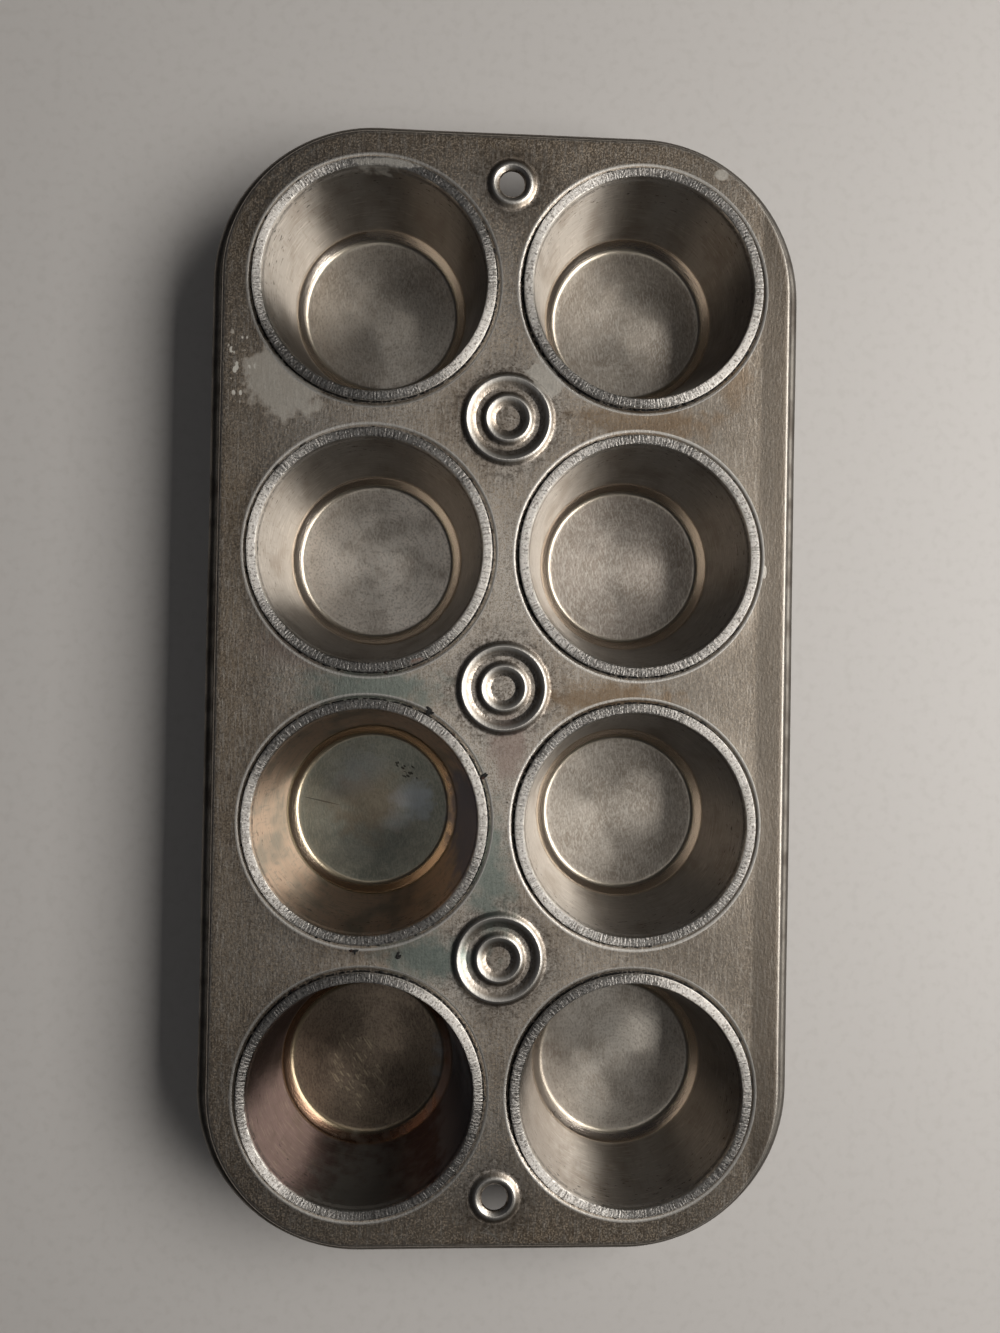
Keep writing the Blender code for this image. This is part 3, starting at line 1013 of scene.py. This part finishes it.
@dataclass
class Plate:
    """The pressed plate with its collars, rosettes, eyelets, skirt and rolled rim."""

    layout: Layout
    dip_slope: float = 0.9 * MM
    dip_bend: float = 1.0 * MM
    dip_foot_bend: float = 0.3 * MM
    edge_width: float = 6.7 * MM
    edge_strip: float = 1.6 * MM  # the outermost strip of the flat, which the skirt's bend ends in
    skirt_bend: float = 0.77 * MM
    skirt_drop: float = 5.4 * MM
    wire_radius: float = 1.1 * MM
    wire_gap: float = 0.25 * MM
    curl_sweep: float = math.radians(300)
    rosette_radius: float = 10.7 * MM
    rosette_rings: int = 2
    rosette_spread: float = 0.15 * MM  # how much wider the foot's own bend makes a rosette
    ridge_height: float = 0.85 * MM
    ridge_rise: float = 1.4 * MM
    ridge_fall: float = 2.2 * MM
    ridge_land: float = 0.9 * MM
    ridge_foot_bend: float = 0.5 * MM
    ridge_crest_bend: float = 0.45 * MM
    ridge_land_bend: float = 0.6 * MM
    eyelet_inset: float = 11.25 * MM
    eyelet_hole: float = 2.87 * MM
    eyelet_throat: float = 1.15 * MM
    eyelet_crest: float = 0.45 * MM
    eyelet_flank: float = 1.5 * MM
    eyelet_height: float = 0.8 * MM
    eyelet_drop: float = 0.1 * MM
    eyelet_foot_bend: float = 0.6 * MM
    eyelet_crest_bend: float = 0.4 * MM
    foot_blend: float = 0.5 * MM  # flat kept outside a pressed foot, so that the foot can be round
    # How finely the forms are cut: pieces round a full turn, and the longest pieces along a profile
    collar_segments: int = 112
    rosette_segments: int = 72
    eyelet_segments: int = 56
    corner_steps: int = 26
    curl_steps: int = 22
    collar_piece: float = 0.7 * MM
    rosette_piece: float = 0.6 * MM
    eyelet_piece: float = 0.45 * MM
    skirt_piece: float = 0.9 * MM
    side_piece: float = 3.0 * MM
    web_edge: float = 3.2 * MM
    web_cuts: int = 6
    web_smoothings: int = 4
    # The waves of a used plate
    dents: Ripple = Ripple(0.05 * MM, 13 * MM, 3.1)
    sag: Ripple = Ripple(0.1 * MM, 45 * MM, 8.3)
    skirt_waves: Ripple = Ripple(0.12 * MM, 30 * MM, 5.5)
    calm: float = 3 * MM  # the way from a seam over which the waves grow to their full height
    edge_slope: float = 0.02  # how steeply the flat rises from the cups to the long edges

    @property
    def skirt_radius(self) -> float:
        """From a corner cup's axis to the skirt."""
        return self.layout.seam_radius + self.edge_width

    @property
    def wire_path(self) -> float:
        """From a corner cup's axis to the middle of the rim wire."""
        return self.skirt_radius + self.wire_gap + self.wire_radius

    @property
    def wire_height(self) -> float:
        """The height of the middle of the rim wire."""
        return self.layout.plate_top - self.skirt_drop

    def collar(self) -> Line:
        """Draw the face round a cup.

        Returns:
            The line from the flat plate down the dip and up to the edge of the hem.
        """
        layout = self.layout
        foot = layout.seam_radius + layout.seam_gap
        collar_inside = layout.mouth_radius + layout.sheet + layout.seam_gap
        collar = collar_inside + layout.sheet
        hem_under = layout.seat_top + layout.sheet + 2 * layout.seam_gap
        hem_edge = layout.seam_radius - layout.sheet - layout.seam_gap
        top = foot + self.dip_slope
        return rounded_line(
            [
                Station(top + self.foot_blend, layout.plate_top),
                Station(top, layout.plate_top, self.dip_bend, POLISHED),
                Station(foot, layout.seat_top, self.dip_foot_bend, SOOTY),
                Station(collar, layout.seat_top, wear=SOOTY),
                Station(collar, hem_under, wear=SOOTY),
                Station(hem_edge, hem_under, wear=SOOTY),
            ],
            self.collar_piece,
        )

    def rosette(self) -> Line:
        """Draw the face over a rosette.

        Returns:
            The line from its foot over its rings to its middle.
        """
        top = self.layout.plate_top
        crest_top = top + self.ridge_height
        foot = self.rosette_radius + self.rosette_spread
        stations = [Station(foot + self.foot_blend, top)]
        for _ in range(self.rosette_rings):
            crest = foot - self.ridge_rise
            inside = crest - self.ridge_fall
            stations.append(Station(foot, top, self.ridge_foot_bend, -0.6))
            stations.append(Station(crest, crest_top, self.ridge_crest_bend, POLISHED))
            stations.append(Station(inside, top, self.ridge_land_bend, -0.2))
            foot = inside - self.ridge_land
        stations.append(Station(0.0, top))
        return rounded_line(stations, self.rosette_piece)

    def eyelet(self) -> Line:
        """Draw the face over an eyelet.

        Returns:
            The line from its foot to the edge of its hole.
        """
        top = self.layout.plate_top
        crest_top = top + self.eyelet_height
        crest_inside = self.eyelet_hole + self.eyelet_throat
        crest_outside = crest_inside + self.eyelet_crest
        foot = crest_outside + self.eyelet_flank
        return rounded_line(
            [
                Station(foot + self.foot_blend, top),
                Station(foot, top, self.eyelet_foot_bend, -0.7),
                Station(crest_outside, crest_top, self.eyelet_crest_bend, POLISHED),
                Station(crest_inside, crest_top, self.eyelet_crest_bend, POLISHED),
                Station(self.eyelet_hole, top - self.eyelet_drop, wear=0.2),
            ],
            self.eyelet_piece,
        )

    def rim(self) -> Line:
        """Draw the face of the edge.

        Returns:
            The line from the flat down the skirt and round the rim wire.
        """
        top = self.layout.plate_top
        line = rounded_line(
            [
                Station(self.skirt_radius - self.edge_strip, top),
                Station(self.skirt_radius, top, self.skirt_bend, 0.6),
                Station(self.skirt_radius, self.wire_height, wear=-0.6),
            ],
            self.skirt_piece,
        )
        wire = Vector((self.wire_path, self.wire_height))
        for step in range(1, self.curl_steps + 1):
            angle = math.pi + self.curl_sweep * step / self.curl_steps
            arm = Vector((math.cos(angle), math.sin(angle))) * (self.wire_radius + self.wire_gap)
            line.append((wire + arm, -0.3))
        return line

    def build(self) -> bpy.types.Object:
        """Model the plate and dress it.

        Returns:
            The finished piece.
        """
        layout = self.layout
        sheet = Sheet()
        web = sheet.bm.faces.layers.int.new("web")
        edge = sheet.chain(self.rim(), layout.half)
        sheet.sweep(edge, layout.half, self.corner_steps, self.side_piece)
        hole = layout.half.y + self.skirt_radius - self.eyelet_inset
        ends = [Vector((0, hole)), Vector((0, -hole))]
        sheet.turn(self.collar(), [centre for _, centre in layout.cups()], self.collar_segments)
        sheet.turn(self.rosette(), list(layout.rosettes()), self.rosette_segments, pressed=True)
        sheet.turn(self.eyelet(), ends, self.eyelet_segments, pressed=True)
        sheet.weld()
        self.fill_web(sheet.bm, web)
        self.settle(sheet.bm)
        sheet.face_up()
        piece = new_piece("plate", sheet.bm, WornTinplate().dress(layout))
        wall = piece.modifiers.new("sheet", "SOLIDIFY")
        wall.thickness = layout.sheet
        wall.offset = -1
        wall.use_even_offset = True
        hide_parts("pan_plate")
        return piece

    def fill_web(self, bm: bmesh.types.BMesh, web: object) -> None:
        """Fill the flat between every open edge at its level, and cut it into small triangles.

        Args:
            bm: The plate's mesh.
            web: The face layer that marks the flat.
        """
        top = self.layout.plate_top
        rings = [
            edge
            for edge in bm.edges
            if edge.is_boundary and all(abs(vert.co.z - top) < WELD for vert in edge.verts)
        ]
        filled = bmesh.ops.triangle_fill(bm, edges=rings, use_beauty=True, normal=UP)["geom"]
        for part in filled:
            if isinstance(part, bmesh.types.BMFace):
                part[web] = 1
        for _ in range(self.web_cuts):
            inner = self.inner_edges(bm, web)
            too_long = [edge for edge in inner if edge.calc_length() > self.web_edge]
            if not too_long:
                break
            bmesh.ops.subdivide_edges(bm, edges=too_long, cuts=1)
            bmesh.ops.triangulate(bm, faces=[face for face in bm.faces if face[web]])
            flat = [face for face in bm.faces if face[web]]
            bmesh.ops.beautify_fill(bm, faces=flat, edges=self.inner_edges(bm, web))
        loose = [
            vert
            for vert in bm.verts
            if vert.link_faces and all(face[web] for face in vert.link_faces)
        ]
        for _ in range(self.web_smoothings):
            bmesh.ops.smooth_vert(bm, verts=loose, factor=0.5, use_axis_x=True, use_axis_y=True)

    @staticmethod
    def inner_edges(bm: bmesh.types.BMesh, web: object) -> list:
        """Find the edges whose faces both belong to the flat.

        Args:
            bm: The plate's mesh.
            web: The face layer that marks the flat.

        Returns:
            The edges.
        """
        return [
            edge
            for edge in bm.edges
            if len(edge.link_faces) == 2 and all(face[web] for face in edge.link_faces)
        ]

    def settle(self, bm: bmesh.types.BMesh) -> None:
        """Give the plate the slight dents and waves of a used one.

        Args:
            bm: The plate's mesh.
        """
        layout = self.layout
        centres = [centre for _, centre in layout.cups()]
        for vert in bm.verts:
            place = vert.co.copy()
            level = Vector((place.x, place.y, 0))
            near = min((place.xy - centre).length for centre in centres)
            away = near - layout.seam_radius - layout.seam_gap
            free = min(1, max(0, away / self.calm))
            vert.co.z += free * (self.dents.at(level) - self.sag.above(level))
            drop = max(0, layout.plate_top - place.z) / self.skirt_drop
            vert.co -= outward(place) * min(1, drop) * self.skirt_waves.above(place)
            outside = max(0, abs(place.x) - layout.half.x - layout.seam_radius)
            vert.co.z += self.edge_slope * min(outside, self.edge_width) * free


@dataclass
class RimWire:
    """The steel wire inside the rolled rim, one closed ring."""

    plate: Plate
    sides: int = 16
    play: float = 0.1 * MM  # how much thinner and further in it is, clear of the waves of the rim

    def build(self) -> bpy.types.Object:
        """Model the wire and dress it.

        Returns:
            The finished piece.
        """
        plate = self.plate
        half = plate.layout.half
        sheet = Sheet()
        radius = plate.wire_radius - self.play
        circle = bmesh.ops.create_circle(sheet.bm, segments=self.sides, radius=radius)["verts"]
        upright = Matrix.Rotation(math.pi / 2, 4, "X")
        start = Matrix.Translation((half.x + plate.wire_path, half.y, plate.wire_height))
        bmesh.ops.transform(sheet.bm, matrix=start @ upright, verts=circle)
        section = [*sheet.bm.verts, *sheet.bm.edges]
        sheet.sweep(section, half, plate.corner_steps, plate.side_piece)
        bmesh.ops.recalc_face_normals(sheet.bm, faces=sheet.bm.faces)
        for vert in sheet.bm.verts:
            vert.co -= outward(vert.co) * self.play
        piece = new_piece("wire_in_rim", sheet.bm, DrawnSteel().dress())
        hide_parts("rim_wire")
        return piece


@dataclass(frozen=True)
class DrawnSteel:
    """Cold drawn steel wire: dull grey with rust freckles where the rim let water in."""

    steel: Coat = Coat("#6B6861", 0.5)
    rust: Coat = Coat("#5A3A24", 0.8, 0.1)

    def dress(self) -> bpy.types.Material:
        """Make the wire's material.

        Returns:
            The material.
        """
        look = Surface("cold_drawn_steel", self.steel)
        look.lay(self.rust, look.grain(1.5, 0.52, 0.64), height=0.01)
        return look.finished()


@dataclass
class Cup:
    """One drawn cup with the rolled edge that locks it into the plate."""

    name: str
    centre: Vector
    layout: Layout
    floor_edge: float = 18.4 * MM  # where the lines of the floor and of its corner meet
    corner_slope: float = math.radians(42)
    corner_length: float = 3.2 * MM
    floor_bend: float = 1.8 * MM
    wall_bend: float = 2.2 * MM
    # Where the wall is drawn in under the lip: how far inside it and below the top, with its wear
    neck: tuple[tuple[float, float, float], ...] = (
        (0.5 * MM, 2.4 * MM, 0.0),
        (0.4 * MM, 1.7 * MM, -0.5),
        (0.2 * MM, 1.0 * MM, -0.6),
    )
    shoulder: float = 0.55 * MM  # how far the seam's top slopes down on either side
    shoulder_drop: float = 0.22 * MM
    shoulder_bend: float = 0.6 * MM
    lip_bend: float = 0.3 * MM
    edge_bend: float = 0.25 * MM
    hook_bend: float = 0.3 * MM
    piece: float = 1.3 * MM  # the longest piece along its profile
    segments: int = 160
    # What drawing and long use have done to the shape
    domes: tuple[float, float] = (0.3 * MM, 0.55 * MM)  # least and most that a floor is pushed up
    floor_waves: Ripple = Ripple(0.04 * MM, 9 * MM, 2.7)
    wall_waves: Ripple = Ripple(0.05 * MM, 12 * MM, 6.1)
    wall_dents: Ripple = Ripple(0.025 * MM, 5 * MM, 1.9)
    seam_waves: Ripple = Ripple(0.05 * MM, 4 * MM, 9.4)
    floor_zone: float = 2 * MM  # below this, a point belongs to the floor
    wall_zone: float = 6 * MM  # above this, the wall has all of its waves

    @property
    def heel_height(self) -> float:
        """The height where the lines of the floor's corner and of the wall meet."""
        return self.layout.sheet + self.corner_length * math.sin(self.corner_slope)

    def face(self) -> Line:
        """Draw the face that shows.

        Returns:
            The line from the middle of the floor to the hook of the rolled edge.
        """
        layout = self.layout
        floor = layout.sheet
        mouth = layout.mouth_radius
        top = layout.seam_top
        edge_top = top - self.shoulder_drop
        hook = layout.seat_top + layout.seam_gap
        collar = mouth + 2 * (layout.sheet + layout.seam_gap)
        # A straight chamfer between two bends leads from the floor to the tapered wall.
        heel = self.floor_edge + self.corner_length * math.cos(self.corner_slope)
        return rounded_line(
            [
                Station(0.0, floor),
                Station(self.floor_edge, floor, self.floor_bend),
                Station(heel, self.heel_height, self.wall_bend),
                *(Station(mouth - inside, top - below, 0.0, wear) for inside, below, wear in self.neck),
                Station(mouth, edge_top, self.lip_bend, 0.9),
                Station(mouth + self.shoulder, top, self.shoulder_bend, 0.3),
                Station(layout.seam_radius - self.shoulder, top, self.shoulder_bend, 0.3),
                Station(layout.seam_radius, edge_top, self.edge_bend, 0.8),
                Station(layout.seam_radius, hook, self.hook_bend, SOOTY),
                Station(collar, hook, wear=SOOTY),
            ],
            self.piece,
        )

    def build(self) -> bpy.types.Object:
        """Model the cup and dress it.

        Returns:
            The finished piece.
        """
        face = self.face()
        back = offset_line(face, self.layout.sheet)
        sheet = Sheet()
        sheet.turn(face + back[::-1], [self.centre], self.segments, back_from=len(face))
        sheet.weld()
        bmesh.ops.recalc_face_normals(sheet.bm, faces=sheet.bm.faces)
        self.settle(sheet.bm)
        tint = HEAT_TINTS.get(self.name, HeatTint.PLAIN)
        material = CUP_FINISHES[tint].dress(self)
        piece = new_piece(self.name.replace("cup", "drawn_cup"), sheet.bm, material)
        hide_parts(self.name)
        return piece

    def settle(self, bm: bmesh.types.BMesh) -> None:
        """Push the floor up a little, and give the wall and the seam a hand-worn unevenness.

        Args:
            bm: The cup's mesh.
        """
        dome = random.Random(self.name).uniform(*self.domes)
        for vert in bm.verts:
            spoke = vert.co.xy - self.centre
            reach = spoke.length
            if reach < WELD:
                vert.co.z += dome
                continue
            if vert.co.z < self.floor_zone:
                inside = max(0, 1 - (reach / self.floor_edge) ** 2)
                vert.co.z += inside * (dome + self.floor_waves.at(vert.co))
            wall = min(1, vert.co.z / self.wall_zone)
            inwards = self.wall_waves.above(vert.co) + self.wall_dents.at(vert.co)
            vert.co -= Vector((*spoke.normalized(), 0)) * wall * inwards
            at_top = min(1, max(0, (vert.co.z - self.layout.plate_top) / MM))
            vert.co.z -= at_top * self.seam_waves.above(vert.co)


@dataclass
class Crust:
    """Bits of burnt batter in the crevice at the foot of every seam."""

    layout: Layout
    bits_per_cup: int = 34
    bits_per_lump: int = 4
    # Larger bits that stand out, as (x, y) in millimetres
    lumps: tuple[tuple[float, float], ...] = (
        (-32.4, -59.6),
        (-22.6, -60.6),
        (-16.4, -5.4),
        (-3.8, -19.9),
    )
    lump_spread: float = 0.5  # in millimetres
    # Smallest and largest, in millimetres
    off_seam: tuple[float, float] = (0.1, 0.35)
    bit_size: tuple[float, float] = (0.2, 0.42)
    lump_size: tuple[float, float] = (0.4, 0.6)
    # Smallest and largest, as shares of a bit's size
    lumpy: tuple[float, float] = (0.75, 1.15)
    length: tuple[float, float] = (1.0, 2.2)
    width: float = 0.8
    height: float = 0.6
    lift: float = 0.35 * MM

    def build(self) -> bpy.types.Object:
        """Scatter the bits and dress them.

        Returns:
            The finished piece.
        """
        dice = random.Random(7)
        bm = bmesh.new()
        for _, centre in self.layout.cups():
            for _ in range(self.bits_per_cup):
                angle = dice.uniform(0, math.tau)
                reach = self.layout.seam_radius + dice.uniform(*self.off_seam) * MM
                spot = centre + Vector((math.cos(angle), math.sin(angle))) * reach
                self.bit(bm, spot, angle, dice.uniform(*self.bit_size) * MM, dice)
        spread = (-self.lump_spread, self.lump_spread)
        for x, y in self.lumps:
            for _ in range(self.bits_per_lump):
                spot = Vector((x + dice.uniform(*spread), y + dice.uniform(*spread))) * MM
                angle = dice.uniform(0, math.tau)
                self.bit(bm, spot, angle, dice.uniform(*self.lump_size) * MM, dice)
        return new_piece("crust_bits", bm, BurntCrust().dress())

    def bit(
        self, bm: bmesh.types.BMesh, spot: Vector, angle: float, size: float, dice: random.Random
    ) -> None:
        """Add one bit.

        Args:
            bm: The mesh of all the bits.
            spot: Where it lies.
            angle: The way from the cup's axis to it.
            size: About half of its width.
            dice: The source of its shape.
        """
        ball = bmesh.ops.create_icosphere(bm, subdivisions=1, radius=size)["verts"]
        for vert in ball:
            vert.co *= dice.uniform(*self.lumpy)
        shape = Matrix.Diagonal((self.width, dice.uniform(*self.length), self.height, 1))
        turned = Matrix.Rotation(angle, 4, "Z")
        put = Matrix.Translation((spot.x, spot.y, self.layout.seat_top + self.lift))
        bmesh.ops.transform(bm, matrix=put @ turned @ shape, verts=ball)


@dataclass(frozen=True)
class BurntCrust:
    """Batter and grease baked to carbon: black, crumbly and matt with a few greasy glints."""

    carbon: Coat = Coat("#12100E", 0.7, 0.0)
    rusty: Coat = Coat("#3A2014", 0.75, 0.0)

    def dress(self) -> bpy.types.Material:
        """Make the crust's material.

        Returns:
            The material.
        """
        look = Surface("burnt_crust", self.carbon)
        look.lay(self.rusty, look.grain(1.5, 0.55, 0.7), height=0.03)
        return look.finished()


@dataclass(frozen=True)
class Softbox:
    """A soft rectangular light."""

    name: str
    place: tuple[float, float, float]  # the middle of the light
    aim: tuple[float, float, float]  # the point that it looks at
    size: tuple[float, float]  # its sides, level and upright
    radiance: float  # how bright it looks, where 1 is white
    colour: str

    def hang(self) -> None:
        """Hang it in the scene."""
        light = bpy.data.lights.new(self.name, "AREA")
        light.shape = "RECTANGLE"
        light.size, light.size_y = self.size
        light.energy = self.radiance * math.pi * light.size * light.size_y
        light.color = linear(self.colour)[:3]
        lamp = bpy.data.objects.new(self.name, light)
        lamp.location = self.place
        way = Vector(self.aim) - Vector(self.place)
        lamp.rotation_euler = way.to_track_quat("-Z", "Y").to_euler()
        bpy.context.scene.collection.objects.link(lamp)


@dataclass
class Studio:
    """The floor, the soft lights and the camera. None of them is part of the pan."""

    floor_size: float = 3.0
    laminate: Coat = Coat("#D4D0CC", 0.5, 0.0)
    laminate_grain: Coat = Coat("#A9A49C", 0.55, 0.0)
    window: Softbox = Softbox(
        "window", (0.564, 0.07, 0.5705), (-0.053, 0.07, -0.0145), (0.82, 0.4), 6.2, "#FFFCF8"
    )
    ceiling: Softbox = Softbox(
        "ceiling", (0.024, 0.0, 1.3), (0.0, 0.0, 0.0), (0.98, 0.33), 0.64, "#FFFEFC"
    )
    # The room is dim at the left and lighter at the right
    room_left: str = "#181A20"
    room_right: str = "#363533"
    room_turn: tuple[float, float] = (-0.7, 0.8)  # X of the directions between which it changes
    # The camera stands where the photograph was taken from
    camera_place: tuple[float, float, float] = (-0.01148, 0.00256, 0.24951)
    camera_turn: tuple[float, float, float] = (0.0093, -0.0474, 0.0178)
    camera_near: float = 10 * MM
    lens: float = 27.03
    sensor: float = 36.0

    def build(self) -> None:
        """Make the whole studio."""
        self.lay_floor()
        self.window.hang()
        self.ceiling.hang()
        self.paint_world()
        self.place_camera()

    def lay_floor(self) -> None:
        """Lay a plain pale floor that can't be seen from beneath."""
        bm = bmesh.new()
        bmesh.ops.create_grid(bm, x_segments=1, y_segments=1, size=self.floor_size / 2)
        mesh = bpy.data.meshes.new("floor")
        bm.to_mesh(mesh)
        bm.free()
        look = Surface("matt_laminate", self.laminate)
        look.lay(self.laminate_grain, look.grain(2.5, 0.45, 0.75), 0.12)
        material = look.finished()
        under = add(look.tree, "NewGeometry").outputs["Backfacing"]
        clear = add(look.tree, "BsdfTransparent").outputs[0]
        sides = {0: under, 1: look.shader.outputs[0], 2: clear}
        mixed = add(look.tree, "MixShader", sides).outputs[0]
        look.tree.links.new(mixed, look.tree.nodes["Material Output"].inputs["Surface"])
        mesh.materials.append(material)
        floor = bpy.data.objects.new("floor", mesh)
        bpy.context.scene.collection.objects.link(floor)

    def paint_world(self) -> None:
        """Paint the dim room."""
        world = bpy.data.worlds.new("room")
        world.use_nodes = True
        bpy.context.scene.world = world
        tree = world.node_tree
        tree.nodes.clear()
        place = add(tree, "TexCoord").outputs["Generated"]
        way = add(tree, "SeparateXYZ", {0: place}).outputs["X"]
        left, right = self.room_turn
        limits = {"Value": way, "From Min": left, "From Max": right}
        across = add(tree, "MapRange", limits, interpolation_type="SMOOTHSTEP").outputs["Result"]
        first, second = MIX_COLOURS
        tones = {
            MIX_FACTOR: across,
            first: linear(self.room_left),
            second: linear(self.room_right),
        }
        room = add(tree, "Mix", tones, data_type="RGBA").outputs[MIX_COLOUR_RESULT]
        shade = add(tree, "Background", {"Color": room, "Strength": 1.0}).outputs[0]
        add(tree, "OutputWorld", {"Surface": shade})

    def place_camera(self) -> None:
        """Put the camera where the photograph was taken from."""
        camera = bpy.data.cameras.new("camera")
        camera.sensor_width = self.sensor
        camera.lens = self.lens
        camera.clip_start = self.camera_near
        stand = bpy.data.objects.new("camera", camera)
        stand.location = self.camera_place
        stand.rotation_euler = self.camera_turn
        bpy.context.scene.collection.objects.link(stand)
        bpy.context.scene.camera = stand


def main() -> None:
    """Build every piece of the pan, then the studio."""
    logging.basicConfig(level=logging.INFO, format="%(message)s")
    bpy.context.scene.view_settings.view_transform = "Standard"
    layout = Layout()
    plate = Plate(layout)
    pieces = [plate.build(), RimWire(plate).build()]
    pieces += [Cup(name, centre, layout).build() for name, centre in layout.cups()]
    pieces.append(Crust(layout).build())
    for piece in pieces:
        LOG.info("%s: %d faces before its modifiers", piece.name, len(piece.data.polygons))
    Studio().build()


if __name__ == "__main__":
    main()
